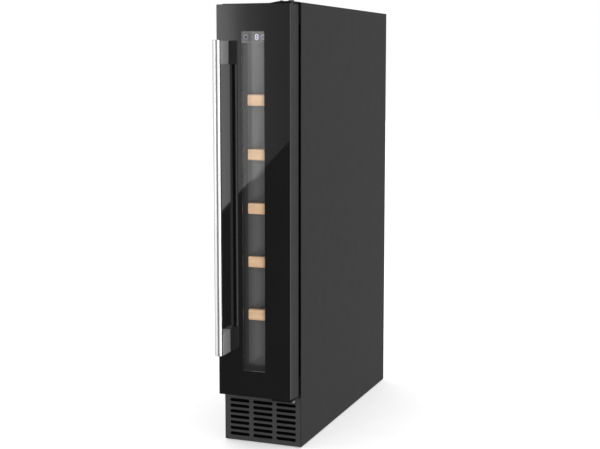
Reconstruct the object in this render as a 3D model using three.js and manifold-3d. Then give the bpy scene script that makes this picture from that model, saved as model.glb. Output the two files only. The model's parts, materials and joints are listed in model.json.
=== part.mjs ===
// Slim built-in wine cooler: one column of bottles behind a tall glass door.
// Millimetres, +Z up, the door faces -Y. The origin is on the floor under the
// middle of the footprint. Inside the cooler group, y = 0 is the cabinet's
// front face and z = 0 is 3 mm above the cabinet's underside.

import * as THREE from 'three';
import Module from 'manifold-3d';
import { mergeVertices } from 'three/addons/utils/BufferGeometryUtils.js';

const wasm = await Module();
wasm.setup();

// ---------------------------------------------------------------- dimensions

const CLEARANCE = 0.3;

const CABINET = { width: 148, bottom: -3, height: 780, depth: 500, sheet: 1 };
const FOOT_DROP = 2;
const HALF_WIDTH = CABINET.width / 2;
const INSIDE_X = HALF_WIDTH - CABINET.sheet - CLEARANCE;
const BACK_INSIDE = CABINET.depth - CABINET.sheet - CLEARANCE;
const TOP_INSIDE = CABINET.height - CABINET.sheet - CLEARANCE;

const DOOR = { halfWidth: 68, bottom: 91, top: 777, back: 4, front: 38 };
const DOOR_FLANGE = { halfWidth: 70.5, front: 12 };
const DOOR_OPENING = { halfWidth: 38, bottom: 122, top: 745 };
const WINDOW = { halfWidth: 21, bottom: 138, top: 730.7 };
const GLASS_THICK = 3.7;
const INNER_GLASS = { front: 15.5, back: 11.8, spacer: 6 };
const PRINT_THICK = 0.5;
const GLASS_BACK = DOOR.front - GLASS_THICK;
const PRINT_BACK = GLASS_BACK - CLEARANCE - PRINT_THICK;
const FRAME_FRONT = PRINT_BACK - CLEARANCE;
const SEAL = {
  outer: { halfWidth: 56, bottom: 114, top: 762 },
  inner: { halfWidth: 46, bottom: 124, top: 752 },
};

const HINGE = {
  x: 64, y: -20, pinRadius: 3, headRadius: 5, headHeight: 3.5, headEdge: 0.8,
  shank: 17.5, socket: 16, socketRadius: 3.4,
};
const HINGE_PLATE = { thick: 3, gap: 0.6, front: -36, waist: -18, cornerRun: 8, outerX: 70 };
const HINGE_LEG = { x0: 58, x1: 72, thick: 1.5, length: 38 };
const BRACKET_INNER_X = { top: 30, bottom: 24 };

const HANDLE = { x: -51.8, y: -73, radius: 7, edge: 0.5, bottom: 170, top: 716 };
const POST = { width: 14, height: 40, round: 1.5, barOverlap: 2 };
const HANDLE_SCREW = {
  radius: 2, hole: 2.4, headRadius: 4.5, headTop: 5.5, headBase: 9.2, end: 54,
};

const CAVITY = {
  halfWidth: 44, floor: 130, ceiling: 748, back: 445, stepFront: 335, stepTop: 205,
};
const LINER = 1.5;
const FOAM = { bottom: 100, stepFront: 365, stepBottom: 173.5 };
const EVAPORATOR = { halfWidth: 38, front: 436, back: 438.5, bottom: 300, top: 640 };
const COLD_COVER = { front: 416, back: 418.5, rise: 1.5 };
const COLD_VENT = { rows: 5, halfLength: 30, first: 225, pitch: 12, height: 5 };
const LIGHT = { halfWidth: 30, front: 50, back: 62, bottom: 743 };

const SHELF = {
  count: 5, topmost: 622, pitch: 96.75, front: 28, thick: 12,
  halfWidth: 38.5, height: 20.4,
};
const WOOD_EDGE = 2.5;
const RACK_SIDE = { x: 40.5, wire: 2, back: 396 };
const RACK_BAR = { inset: 4, wire: 1.8 };
const CRADLE = { places: [110, 190, 270, 350], reach: 36, dip: 8, wire: 1.5 };
const LEDGE = { x: 38, front: 42, back: 410, thick: 4 };

const PLINTH = { top: 90, thick: 2, columns: 3, columnPitch: 45, rows: 7 };
const BASE_THICK = 1.5;
const REAR_VENT = { rows: 5, halfLength: 48, first: 90, pitch: 14, height: 6 };
const SLOT = { length: 38, height: 6, first: 8.5, pitch: 10.4 };

const PANEL = { halfWidth: 43.4, front: 10, back: 40, bottom: 712, top: 747.4, wall: 2 };
const BUTTON = { radius: 5, hole: 5.4, z: 722, front: 9.2, edge: 0.4, flange: 6.2, flangeThick: 1.7 };
const BUTTONS = { power: -32, up: 0, down: 16, light: 32 };
const DISPLAY = { x: -17, z: 722, halfWidth: 10, halfHeight: 7, inset: 0.2 };
const BOARD = { halfWidth: 40, front: 18, back: 19.6, bottom: 715, top: 745 };

const FAN = { z: 49, front: 62, back: 78, hub: 15, blade: 36.5 };
const FAN_HOUSING = { front: 60, back: 85, halfSize: 42, bore: 38 };
const FAN_ARM = { thick: 4, halfWidth: 3, endGap: 1 };
const BLADE = { overlap: 4, thick: 1.6, tilt: 0.6 };
const COLD_FAN = { z: 690, front: 421, back: 432, bore: 34, hub: 12, blade: 32 };
const COIL = { runs: 7, lowest: 14, pitch: 12, y: 30, straight: 40, turn: 50, pipe: 2.5 };
const COMPRESSOR = { y: 430, radius: 50, bottom: 13.8, top: 160, seam: 1.5, foot: 44, footThick: 4 };
const MOUNT = { halfX: 48, halfY: 60, bottom: -1.2, top: 2, post: 38, postRadius: 7 };
const TRAY = { halfWidth: 45, front: 110, back: 290, bottom: -1.2, top: 24, wall: 2 };
const BOARD_BOX = { x: [-69, -50], y: [210, 330], z: [8, 92] };
const FEET = { front: [52, 45], rear: [55, 470], shank: 4, hole: 4.6, pad: 12, edge: 0.8, shankTop: 40 };
const INLET = { x: -45, z: 40, halfWidth: 14, halfHeight: 10, depth: 18 };
const SOCKET = { halfWidth: 11.5, halfHeight: 7.5, depth: 14 };
const CONTACT = { pitch: 6, halfWidth: 1, halfHeight: 2.5, length: 10 };

// The copper pipes' centre lines, from the compressor to the condenser and the cold plate.
const DISCHARGE = {
  radius: 3,
  route: [
    [53.5, 430, 70], [60, 420, 70], [64, 390, 74], [64, 240, 84], [64, 120, 86],
    [64, 60, 86], [61, 36, 86], [53.5, 30, 86],
  ],
};
const SUCTION = {
  radius: 3.5,
  route: [
    [-53.5, 430, 110], [-60, 437, 114], [-63, 452, 128], [-63, 460, 150], [-63, 460, 172.8],
  ],
};

const BODY_DEPTH = CABINET.depth - HANDLE.y + HANDLE.radius;
const FACE_Y = -BODY_DEPTH / 2 - HANDLE.y + HANDLE.radius;

// ---------------------------------------------------------------- materials

function finish(color, roughness, metalness) {
  return new THREE.MeshStandardMaterial({ color, roughness, metalness });
}

const cabinetPaint = finish(0x424242, 0.55, 0.2);
const plinthPaint = finish(0x484848, 0.5, 0.2);
const zincSteel = finish(0x9a9c9e, 0.45, 0.8);
const linerPlastic = finish(0x2b2b2c, 0.5, 0);
const foamYellow = finish(0xd9c98a, 0.95, 0);
const blackGlass = finish(0x101112, 0.05, 0);
const blackPrint = finish(0x0b0b0b, 0.2, 0);
const clearGlass = finish(0x9fb0ad, 0.05, 0);
const framePlastic = finish(0x3c3c3d, 0.45, 0.1);
const gasketRubber = finish(0x1a1a1a, 0.8, 0);
const brushedSteel = finish(0xdcdedf, 0.25, 0.9);
const hingeSteel = finish(0x141414, 0.35, 0.6);
const beech = finish(0xdcb896, 0.6, 0);
const blackWire = finish(0x2a2a2a, 0.35, 0.5);
const fanPlastic = finish(0x1d1d1e, 0.55, 0);
const panelPlastic = finish(0x6f7072, 0.45, 0);
const buttonMetal = finish(0xb9bbbd, 0.3, 0.7);
const displayLens = finish(0x222226, 0.1, 0);
const boardGreen = finish(0x1e5b34, 0.6, 0);
const lightDiffuser = finish(0xf2f2ee, 0.4, 0);
const coilBlack = finish(0x161616, 0.5, 0.4);
const copper = finish(0xb87345, 0.35, 0.9);
const evaporatorAluminium = finish(0xb9bcbf, 0.4, 0.9);
const footRubber = finish(0x202020, 0.85, 0);

// ---------------------------------------------------------------- shape tools

function solidOf(geometry) {
  const bare = geometry.clone();
  bare.deleteAttribute('normal');
  bare.deleteAttribute('uv');
  const merged = mergeVertices(bare, 1e-4);
  const triVerts = Uint32Array.from(merged.index.array);
  const vertProperties = Float32Array.from(merged.attributes.position.array);
  return new wasm.Manifold(new wasm.Mesh({ numProp: 3, vertProperties, triVerts }));
}

function geometryOf(solid) {
  const mesh = solid.getMesh();
  const geometry = new THREE.BufferGeometry();
  geometry.setAttribute('position', new THREE.BufferAttribute(mesh.vertProperties, 3));
  geometry.setIndex(new THREE.BufferAttribute(mesh.triVerts, 1));
  geometry.computeVertexNormals();
  return geometry;
}

function join(...geometries) {
  return geometryOf(geometries.map(solidOf).reduce((all, next) => all.add(next)));
}

function cut(base, ...tools) {
  return geometryOf(tools.map(solidOf).reduce((rest, tool) => rest.subtract(tool), solidOf(base)));
}

// A box from its lowest to its highest x, y and z.
function box([x0, x1], [y0, y1], [z0, z1]) {
  const shape = new THREE.BoxGeometry(x1 - x0, y1 - y0, z1 - z0);
  return shape.translate((x0 + x1) / 2, (y0 + y1) / 2, (z0 + z1) / 2);
}

function across(halfWidth) {
  return [-halfWidth, halfWidth];
}

// A round bar along y, from y0 to y1.
function rodY(radius, x, z, [y0, y1], sides = 24) {
  const bar = new THREE.CylinderGeometry(radius, radius, y1 - y0, sides);
  return bar.translate(x, (y0 + y1) / 2, z);
}

// A round bar along z, from z0 to z1.
function rodZ(radius, x, y, [z0, z1], sides = 24) {
  const bar = new THREE.CylinderGeometry(radius, radius, z1 - z0, sides);
  return bar.rotateX(Math.PI / 2).translate(x, y, (z0 + z1) / 2);
}

// A round bar along x, from x0 to x1.
function rodX(radius, y, z, [x0, x1], sides = 24) {
  const bar = new THREE.CylinderGeometry(radius, radius, x1 - x0, sides);
  return bar.rotateZ(Math.PI / 2).translate((x0 + x1) / 2, y, z);
}

// A turned piece about the z axis; the profile's points are [radius, z].
function turned(profile, sides = 32) {
  const points = profile.map(([radius, height]) => new THREE.Vector2(radius, height));
  return new THREE.LatheGeometry(points, sides).rotateX(Math.PI / 2);
}

function outline(points) {
  return new THREE.Shape(points.map(([u, v]) => new THREE.Vector2(u, v)));
}

function roundedOutline(halfU, halfV, radius) {
  const shape = new THREE.Shape();
  shape.absarc(halfU - radius, halfV - radius, radius, 0, Math.PI / 2);
  shape.absarc(radius - halfU, halfV - radius, radius, Math.PI / 2, Math.PI);
  shape.absarc(radius - halfU, radius - halfV, radius, Math.PI, 1.5 * Math.PI);
  shape.absarc(halfU - radius, radius - halfV, radius, 1.5 * Math.PI, 2 * Math.PI);
  return shape;
}

// A front-view shape (x, z) made into a plate between y0 and y1.
function frontPlate(shape, [y0, y1], curveSegments = 6) {
  const options = { depth: y1 - y0, bevelEnabled: false, curveSegments };
  return new THREE.ExtrudeGeometry(shape, options).rotateX(Math.PI / 2).translate(0, y1, 0);
}

// A plan-view shape (x, y) made into a plate between z0 and z1.
function flatPlate(shape, [z0, z1], curveSegments = 6) {
  const options = { depth: z1 - z0, bevelEnabled: false, curveSegments };
  return new THREE.ExtrudeGeometry(shape, options).translate(0, 0, z0);
}

// A side-view shape (y, z) drawn out to both sides of the middle.
function sideBlock(points, halfWidth) {
  const options = { depth: 2 * halfWidth, bevelEnabled: false };
  const block = new THREE.ExtrudeGeometry(outline(points), options);
  const turn = new THREE.Matrix4().makeBasis(
    new THREE.Vector3(0, 1, 0),
    new THREE.Vector3(0, 0, 1),
    new THREE.Vector3(1, 0, 0),
  );
  return block.applyMatrix4(turn).translate(-halfWidth, 0, 0);
}

// A rectangular ring seen from the front.
function frontRing(outer, inner, span) {
  const slab = box(across(outer.halfWidth), span, [outer.bottom, outer.top]);
  const hole = box(across(inner.halfWidth), [span[0] - 1, span[1] + 1], [inner.bottom, inner.top]);
  return cut(slab, hole);
}

// A bent round wire or pipe along a curve.
function tube(curve, radius, steps, sides = 6) {
  const section = new THREE.Shape();
  section.absarc(0, 0, radius, 0, 2 * Math.PI);
  const options = { steps, extrudePath: curve, bevelEnabled: false, curveSegments: sides / 2 };
  return new THREE.ExtrudeGeometry(section, options);
}

function pathThrough(points) {
  const stops = points.map((point) => new THREE.Vector3(...point));
  return new THREE.CatmullRomCurve3(stops, false, 'catmullrom', 0.2);
}

function addPart(group, name, geometry, material) {
  const mesh = new THREE.Mesh(geometry, material);
  mesh.name = name;
  group.add(mesh);
  return mesh;
}

// ---------------------------------------------------------------- cabinet shell

function addShell(group) {
  const fullDepth = [0, CABINET.depth];
  const fullHeight = [CABINET.bottom, CABINET.height];
  const wall = [HALF_WIDTH - CABINET.sheet, HALF_WIDTH];
  addPart(group, 'right_side_panel', box(wall, fullDepth, fullHeight), cabinetPaint);
  const leftWall = [-wall[1], -wall[0]];
  addPart(group, 'left_side_panel', box(leftWall, fullDepth, fullHeight), cabinetPaint);

  const topZ = [CABINET.height - CABINET.sheet, CABINET.height];
  addPart(group, 'top_panel', box(across(INSIDE_X), [0, BACK_INSIDE], topZ), cabinetPaint);

  const backY = [CABINET.depth - CABINET.sheet, CABINET.depth];
  const coverTop = FOAM.stepBottom + 2;
  const backZ = [coverTop + CLEARANCE, CABINET.height];
  addPart(group, 'back_panel', box(across(INSIDE_X), backY, backZ), zincSteel);
  addPart(group, 'rear_cover', rearCover(backY, coverTop), zincSteel);
  addPart(group, 'base_plate', basePlate(), zincSteel);
  addPart(group, 'plinth_grille', plinthGrille(), plinthPaint);
}

function rearCover(backY, top) {
  const plate = box(across(INSIDE_X), backY, [CABINET.bottom, top]);
  const throughY = [backY[0] - 1, backY[1] + 1];
  const slots = [];
  for (let row = 0; row < REAR_VENT.rows; row += 1) {
    const z = REAR_VENT.first + row * REAR_VENT.pitch;
    slots.push(box(across(REAR_VENT.halfLength), throughY, [z, z + REAR_VENT.height]));
  }
  const inletX = [INLET.x - INLET.halfWidth, INLET.x + INLET.halfWidth];
  const inletZ = [INLET.z - INLET.halfHeight, INLET.z + INLET.halfHeight];
  return cut(plate, ...slots, box(inletX, throughY, inletZ));
}

function footPlaces() {
  const [frontX, frontY] = FEET.front;
  const [rearX, rearY] = FEET.rear;
  return {
    foot_front_left: [-frontX, frontY],
    foot_front_right: [frontX, frontY],
    foot_rear_left: [-rearX, rearY],
    foot_rear_right: [rearX, rearY],
  };
}

function basePlate() {
  const { bottom } = CABINET;
  const plateY = [PLINTH.thick + CLEARANCE, BACK_INSIDE];
  const plate = box(across(INSIDE_X), plateY, [bottom, bottom + BASE_THICK]);
  const holes = Object.values(footPlaces()).map(([x, y]) => (
    rodZ(FEET.hole, x, y, [bottom - 1, bottom + BASE_THICK + 1], 16)
  ));
  return cut(plate, ...holes);
}

// The front grille below the door: three columns of round-ended air slots.
function plinthGrille() {
  const { bottom } = CABINET;
  const face = outline([
    [-INSIDE_X, bottom], [INSIDE_X, bottom], [INSIDE_X, PLINTH.top], [-INSIDE_X, PLINTH.top],
  ]);
  const round = SLOT.height / 2;
  for (let column = 0; column < PLINTH.columns; column += 1) {
    const middle = (column - (PLINTH.columns - 1) / 2) * PLINTH.columnPitch;
    for (let row = 0; row < PLINTH.rows; row += 1) {
      const z = SLOT.first + row * SLOT.pitch;
      const hole = new THREE.Path();
      hole.absarc(middle + SLOT.length / 2 - round, z, round, -Math.PI / 2, Math.PI / 2);
      hole.absarc(middle - SLOT.length / 2 + round, z, round, Math.PI / 2, 1.5 * Math.PI);
      hole.closePath();
      face.holes.push(hole);
    }
  }
  return frontPlate(face, [0, PLINTH.thick], 3);
}

function addFeet(group) {
  const floor = CABINET.bottom - FOOT_DROP;
  const under = CABINET.bottom - CLEARANCE;
  const profile = [
    [0, floor], [FEET.pad - FEET.edge, floor], [FEET.pad, floor + FEET.edge],
    [FEET.pad, under], [FEET.shank, under], [FEET.shank, FEET.shankTop],
    [0, FEET.shankTop],
  ];
  for (const [name, [x, y]] of Object.entries(footPlaces())) {
    addPart(group, name, turned(profile, 16), footRubber).position.set(x, y, 0);
  }
}

// ---------------------------------------------------------------- cold store

// The side view of the cold space, grown outwards by one margin.
// The open front is carried forward to y = front.
function cavityProfile(margin, front) {
  return [
    [front, CAVITY.floor - margin],
    [CAVITY.stepFront + margin, CAVITY.floor - margin],
    [CAVITY.stepFront + margin, CAVITY.stepTop - margin],
    [CAVITY.back + margin, CAVITY.stepTop - margin],
    [CAVITY.back + margin, CAVITY.ceiling + margin],
    [front, CAVITY.ceiling + margin],
  ];
}

function shelfTop(index) {
  return SHELF.topmost - index * SHELF.pitch;
}

function innerLiner() {
  const outer = sideBlock(cavityProfile(LINER, 0), CAVITY.halfWidth + LINER);
  const flange = box(across(INSIDE_X), [0, LINER], [PLINTH.top + CLEARANCE, TOP_INSIDE]);
  const hollow = sideBlock(cavityProfile(0, -1), CAVITY.halfWidth);
  const ledges = [];
  for (let index = 0; index < SHELF.count; index += 1) {
    const top = shelfTop(index) - SHELF.height / 2 - RACK_SIDE.wire - CLEARANCE;
    for (const side of [-1, 1]) {
      const xs = [side * LEDGE.x, side * (CAVITY.halfWidth + LINER / 2)].sort((a, b) => a - b);
      ledges.push(box(xs, [LEDGE.front, LEDGE.back], [top - LEDGE.thick, top]));
    }
  }
  return join(cut(join(outer, flange), hollow), ...ledges);
}

function insulationFoam() {
  const outer = sideBlock([
    [LINER + CLEARANCE, FOAM.bottom],
    [FOAM.stepFront, FOAM.bottom],
    [FOAM.stepFront, FOAM.stepBottom],
    [BACK_INSIDE, FOAM.stepBottom],
    [BACK_INSIDE, TOP_INSIDE],
    [LINER + CLEARANCE, TOP_INSIDE],
  ], INSIDE_X);
  const space = LINER + CLEARANCE;
  return cut(outer, sideBlock(cavityProfile(space, -1), CAVITY.halfWidth + space));
}

function addColdStore(group) {
  addPart(group, 'inner_liner', innerLiner(), linerPlastic);
  addPart(group, 'insulation_foam', insulationFoam(), foamYellow);

  const plateY = [EVAPORATOR.front, EVAPORATOR.back];
  const plate = box(across(EVAPORATOR.halfWidth), plateY, [EVAPORATOR.bottom, EVAPORATOR.top]);
  addPart(group, 'evaporator_plate', plate, evaporatorAluminium);
  addPart(group, 'evaporator_cover', evaporatorCover(), linerPlastic);

  const motor = rodY(COLD_FAN.hub, 0, COLD_FAN.z, [COLD_FAN.back + 1, CAVITY.back - CLEARANCE]);
  addPart(group, 'circulation_fan_motor', motor, fanPlastic);

  const strip = box(across(LIGHT.halfWidth), [LIGHT.front, LIGHT.back], [LIGHT.bottom, PANEL.top]);
  addPart(group, 'led_strip', strip, lightDiffuser);
}

function evaporatorCover() {
  const span = [COLD_COVER.front, COLD_COVER.back];
  const sheetZ = [CAVITY.stepTop + COLD_COVER.rise, PANEL.top];
  const sheet = box(across(PANEL.halfWidth), span, sheetZ);
  const through = [span[0] - 1, span[1] + 1];
  const slots = [];
  for (let row = 0; row < COLD_VENT.rows; row += 1) {
    const z = COLD_VENT.first + row * COLD_VENT.pitch;
    slots.push(box(across(COLD_VENT.halfLength), through, [z, z + COLD_VENT.height]));
  }
  return cut(sheet, rodY(COLD_FAN.bore, 0, COLD_FAN.z, through, 40), ...slots);
}

// ---------------------------------------------------------------- shelves

// A wire that dips in the middle to cradle a bottle.
class CradleCurve extends THREE.Curve {
  getPoint(t, target = new THREE.Vector3()) {
    const x = (2 * t - 1) * RACK_SIDE.x;
    const share = Math.min(Math.abs(x) / CRADLE.reach, 1);
    const dip = (CRADLE.dip / 2) * (1 + Math.cos(Math.PI * share));
    return target.set(x, 0, -dip);
  }
}

function woodFront() {
  const face = roundedOutline(SHELF.halfWidth, SHELF.height / 2, WOOD_EDGE);
  const board = frontPlate(face, [SHELF.front, SHELF.front + SHELF.thick], 4);
  return board.translate(0, 0, -SHELF.height / 2);
}

function shelfRack() {
  const z = -SHELF.height / 2;
  const start = SHELF.front + SHELF.thick + CLEARANCE;
  const sides = [-1, 1].map((side) => (
    rodY(RACK_SIDE.wire, side * RACK_SIDE.x, z, [start, RACK_SIDE.back + RACK_SIDE.wire], 8)
  ));
  const crossX = across(RACK_SIDE.x);
  const bars = [start + RACK_BAR.inset, RACK_SIDE.back].map((y) => (
    rodX(RACK_BAR.wire, y, z, crossX, 8)
  ));
  const cradles = CRADLE.places.map((y) => (
    tube(new CradleCurve(), CRADLE.wire, 8).translate(0, y, z)
  ));
  return join(...sides, ...bars, ...cradles);
}

function addShelves(group) {
  for (let index = 0; index < SHELF.count; index += 1) {
    const shelf = new THREE.Group();
    shelf.position.z = shelfTop(index);
    addPart(shelf, `shelf_front_${index + 1}`, woodFront(), beech);
    addPart(shelf, `shelf_rack_${index + 1}`, shelfRack(), blackWire);
    group.add(shelf);
  }
}

// ---------------------------------------------------------------- controls

function panelHousing() {
  const { halfWidth, front, back, bottom, top, wall } = PANEL;
  const block = box(across(halfWidth), [front, back], [bottom, top]);
  const hollow = box(across(halfWidth - wall), [front + wall, back - wall], [bottom + wall, top + 1]);
  const through = [front - 1, front + wall + 1];
  const holes = Object.values(BUTTONS).map((x) => rodY(BUTTON.hole, x, BUTTON.z, through));
  const lensHalfX = DISPLAY.halfWidth + CLEARANCE;
  const lensHalfZ = DISPLAY.halfHeight + CLEARANCE;
  const lensX = [DISPLAY.x - lensHalfX, DISPLAY.x + lensHalfX];
  const lensZ = [DISPLAY.z - lensHalfZ, DISPLAY.z + lensHalfZ];
  return cut(block, hollow, ...holes, box(lensX, through, lensZ));
}

function buttonCap() {
  const collar = PANEL.front + PANEL.wall + CLEARANCE;
  const flangeBack = collar + BUTTON.flangeThick;
  const profile = [
    [0, -flangeBack], [BUTTON.flange, -flangeBack], [BUTTON.flange, -collar],
    [BUTTON.radius, -collar], [BUTTON.radius, -BUTTON.front - BUTTON.edge],
    [BUTTON.radius - BUTTON.edge, -BUTTON.front], [0, -BUTTON.front],
  ];
  return turned(profile, 20).rotateX(Math.PI / 2);
}

function addControls(group) {
  addPart(group, 'control_panel_housing', panelHousing(), panelPlastic);
  const board = box(across(BOARD.halfWidth), [BOARD.front, BOARD.back], [BOARD.bottom, BOARD.top]);
  addPart(group, 'control_board', board, boardGreen);
  const lensX = [DISPLAY.x - DISPLAY.halfWidth, DISPLAY.x + DISPLAY.halfWidth];
  const lensZ = [DISPLAY.z - DISPLAY.halfHeight, DISPLAY.z + DISPLAY.halfHeight];
  const lensY = [PANEL.front + DISPLAY.inset, PANEL.front + PANEL.wall];
  addPart(group, 'display_window', box(lensX, lensY, lensZ), displayLens);
  for (const [name, x] of Object.entries(BUTTONS)) {
    addPart(group, `${name}_button`, buttonCap(), buttonMetal).position.set(x, 0, BUTTON.z);
  }
}

// ---------------------------------------------------------------- door

const SCREW_HEIGHTS = [
  ['lower', HANDLE.bottom + POST.height / 2],
  ['upper', HANDLE.top - 1 - POST.height / 2],
];

function screwHoles(span, radius) {
  return SCREW_HEIGHTS.map(([, z]) => rodY(radius, HANDLE.x, z, span, 16));
}

function doorFrame() {
  const outer = { halfWidth: DOOR.halfWidth, bottom: DOOR.bottom, top: DOOR.top };
  const flange = { ...outer, halfWidth: DOOR_FLANGE.halfWidth };
  const body = join(
    frontRing(outer, DOOR_OPENING, [-FRAME_FRONT, 1 - DOOR_FLANGE.front]),
    frontRing(flange, DOOR_OPENING, [-DOOR_FLANGE.front, -DOOR.back]),
  );
  const sockets = [
    rodZ(HINGE.socketRadius, HINGE.x, HINGE.y, [DOOR.top - HINGE.socket, DOOR.top + 1]),
    rodZ(HINGE.socketRadius, HINGE.x, HINGE.y, [DOOR.bottom - 1, DOOR.bottom + HINGE.socket]),
  ];
  const shanks = screwHoles([-DOOR.front, -DOOR.back], HANDLE_SCREW.hole);
  const recessFloor = HANDLE_SCREW.headBase + CLEARANCE;
  const recesses = screwHoles([-recessFloor, 1 - DOOR.back], HANDLE_SCREW.headRadius + CLEARANCE);
  return cut(body, ...sockets, ...shanks, ...recesses);
}

function addDoor(group) {
  addPart(group, 'door_frame', doorFrame(), framePlastic);

  const pane = box(across(DOOR.halfWidth), [-DOOR.front, -GLASS_BACK], [DOOR.bottom, DOOR.top]);
  const through = [-DOOR.front - 1, -DOOR.back];
  addPart(group, 'door_glass_outer', cut(pane, ...screwHoles(through, HANDLE_SCREW.hole)), blackGlass);

  const edge = {
    halfWidth: DOOR.halfWidth - CLEARANCE,
    bottom: DOOR.bottom + CLEARANCE,
    top: DOOR.top - CLEARANCE,
  };
  const border = frontRing(edge, WINDOW, [-PRINT_BACK - PRINT_THICK, -PRINT_BACK]);
  addPart(group, 'glass_print_border', cut(border, ...screwHoles(through, HANDLE_SCREW.hole)), blackPrint);

  const innerPane = {
    halfWidth: DOOR_OPENING.halfWidth - CLEARANCE,
    bottom: DOOR_OPENING.bottom + CLEARANCE,
    top: DOOR_OPENING.top - CLEARANCE,
  };
  const innerZ = [innerPane.bottom, innerPane.top];
  const innerY = [-INNER_GLASS.front, -INNER_GLASS.back];
  const innerGlass = box(across(innerPane.halfWidth), innerY, innerZ);
  addPart(group, 'door_glass_inner', innerGlass, clearGlass);

  const spacerHole = {
    halfWidth: innerPane.halfWidth - INNER_GLASS.spacer,
    bottom: innerPane.bottom + INNER_GLASS.spacer,
    top: innerPane.top - INNER_GLASS.spacer,
  };
  const spacerY = [-FRAME_FRONT, -INNER_GLASS.front - CLEARANCE];
  const spacer = frontRing(innerPane, spacerHole, spacerY);
  addPart(group, 'glass_spacer', spacer, framePlastic);

  const seal = frontRing(SEAL.outer, SEAL.inner, [CLEARANCE - DOOR.back, -CLEARANCE]);
  addPart(group, 'door_gasket', seal, gasketRubber);
}

function handlePost() {
  const front = -HANDLE.y - POST.barOverlap;
  const back = DOOR.front + CLEARANCE;
  const shape = roundedOutline(POST.width / 2, (front - back) / 2, POST.round);
  const block = flatPlate(shape, across(POST.height / 2), 4).translate(0, -(front + back) / 2, 0);
  const barSpace = rodZ(HANDLE.radius + CLEARANCE, 0, HANDLE.y, across(POST.height), 40);
  const screwSpan = [-HANDLE_SCREW.end - 2, -DOOR.front];
  return cut(block, barSpace, rodY(HANDLE_SCREW.hole, 0, 0, screwSpan, 16));
}

function handleScrew() {
  const { radius, headRadius, headTop, headBase, end } = HANDLE_SCREW;
  const profile = [
    [0, headTop], [headRadius, headTop], [headRadius, headBase],
    [radius, headBase], [radius, end], [0, end],
  ];
  return turned(profile, 16).rotateX(Math.PI / 2);
}

function addHandle(group) {
  const profile = [
    [0, HANDLE.bottom], [HANDLE.radius - HANDLE.edge, HANDLE.bottom],
    [HANDLE.radius, HANDLE.bottom + HANDLE.edge], [HANDLE.radius, HANDLE.top - HANDLE.edge],
    [HANDLE.radius - HANDLE.edge, HANDLE.top], [0, HANDLE.top],
  ];
  const bar = turned(profile, 40);
  addPart(group, 'handle_bar', bar, brushedSteel).position.set(HANDLE.x, HANDLE.y, 0);
  for (const [place, z] of SCREW_HEIGHTS) {
    const post = addPart(group, `handle_post_${place}`, handlePost(), brushedSteel);
    post.position.set(HANDLE.x, 0, z);
    const screw = addPart(group, `handle_screw_${place}`, handleScrew(), zincSteel);
    screw.position.set(HANDLE.x, 0, z);
  }
}

// ---------------------------------------------------------------- hinges

// A plate that reaches under or over the door, with a leg against the cabinet.
function hingeBracket(innerX, plateZ, legZ) {
  const { front, waist, cornerRun, outerX } = HINGE_PLATE;
  const back = -CLEARANCE;
  const plan = outline([
    [innerX, back], [innerX, waist], [innerX + cornerRun, front], [outerX, front], [outerX, back],
  ]);
  const plate = flatPlate(plan, plateZ);
  const leg = box([HINGE_LEG.x0, HINGE_LEG.x1], [back - HINGE_LEG.thick, back], legZ);
  const hole = rodZ(HINGE.pinRadius + CLEARANCE, HINGE.x, HINGE.y, [plateZ[0] - 1, plateZ[1] + 1]);
  return cut(join(plate, leg), hole);
}

// The pin's head sits on the bracket and its shank turns in the door.
// way is 1 for a pin that points down and -1 for one that points up.
function hingePin(headBase, way) {
  const shankEnd = headBase - way * HINGE.shank;
  const headEnd = headBase + way * HINGE.headHeight;
  const rim = headEnd - way * HINGE.headEdge;
  const profile = [
    [0, shankEnd], [HINGE.pinRadius, shankEnd], [HINGE.pinRadius, headBase],
    [HINGE.headRadius, headBase], [HINGE.headRadius, rim],
    [HINGE.headRadius - HINGE.headEdge, headEnd], [0, headEnd],
  ];
  return turned(way > 0 ? profile : profile.reverse(), 24);
}

function addHinges(group) {
  const topStart = DOOR.top + HINGE_PLATE.gap;
  const topPlate = [topStart, topStart + HINGE_PLATE.thick];
  const topLeg = [CABINET.height - HINGE_LEG.length, topPlate[1]];
  const topBracket = hingeBracket(BRACKET_INNER_X.top, topPlate, topLeg);
  addPart(group, 'top_hinge_bracket', topBracket, hingeSteel);
  const topPin = hingePin(topPlate[1] + CLEARANCE, 1);
  addPart(group, 'top_hinge_pin', topPin, zincSteel).position.set(HINGE.x, HINGE.y, 0);

  const lowEnd = DOOR.bottom - HINGE_PLATE.gap;
  const lowPlate = [lowEnd - HINGE_PLATE.thick, lowEnd];
  const lowLeg = [lowPlate[0], lowPlate[0] + HINGE_LEG.length];
  const lowBracket = hingeBracket(BRACKET_INNER_X.bottom, lowPlate, lowLeg);
  addPart(group, 'bottom_hinge_bracket', lowBracket, hingeSteel);
  const lowPin = hingePin(lowPlate[0] - CLEARANCE, -1);
  addPart(group, 'bottom_hinge_pin', lowPin, zincSteel).position.set(HINGE.x, HINGE.y, 0);
}

// ---------------------------------------------------------------- machine room

// A fan wheel about the y axis: a hub and swept blades.
function fanRotor(fan, bladeCount) {
  const depth = fan.back - fan.front;
  const parts = [rodY(fan.hub, 0, 0, across(depth / 2), 24)];
  for (let index = 0; index < bladeCount; index += 1) {
    const root = fan.hub - BLADE.overlap;
    const blade = new THREE.BoxGeometry(fan.blade - root, BLADE.thick, fan.hub);
    blade.rotateX(BLADE.tilt);
    blade.translate((fan.blade + root) / 2, 0, 0);
    blade.rotateY((index * 2 * Math.PI) / bladeCount);
    parts.push(blade);
  }
  return join(...parts);
}

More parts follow.
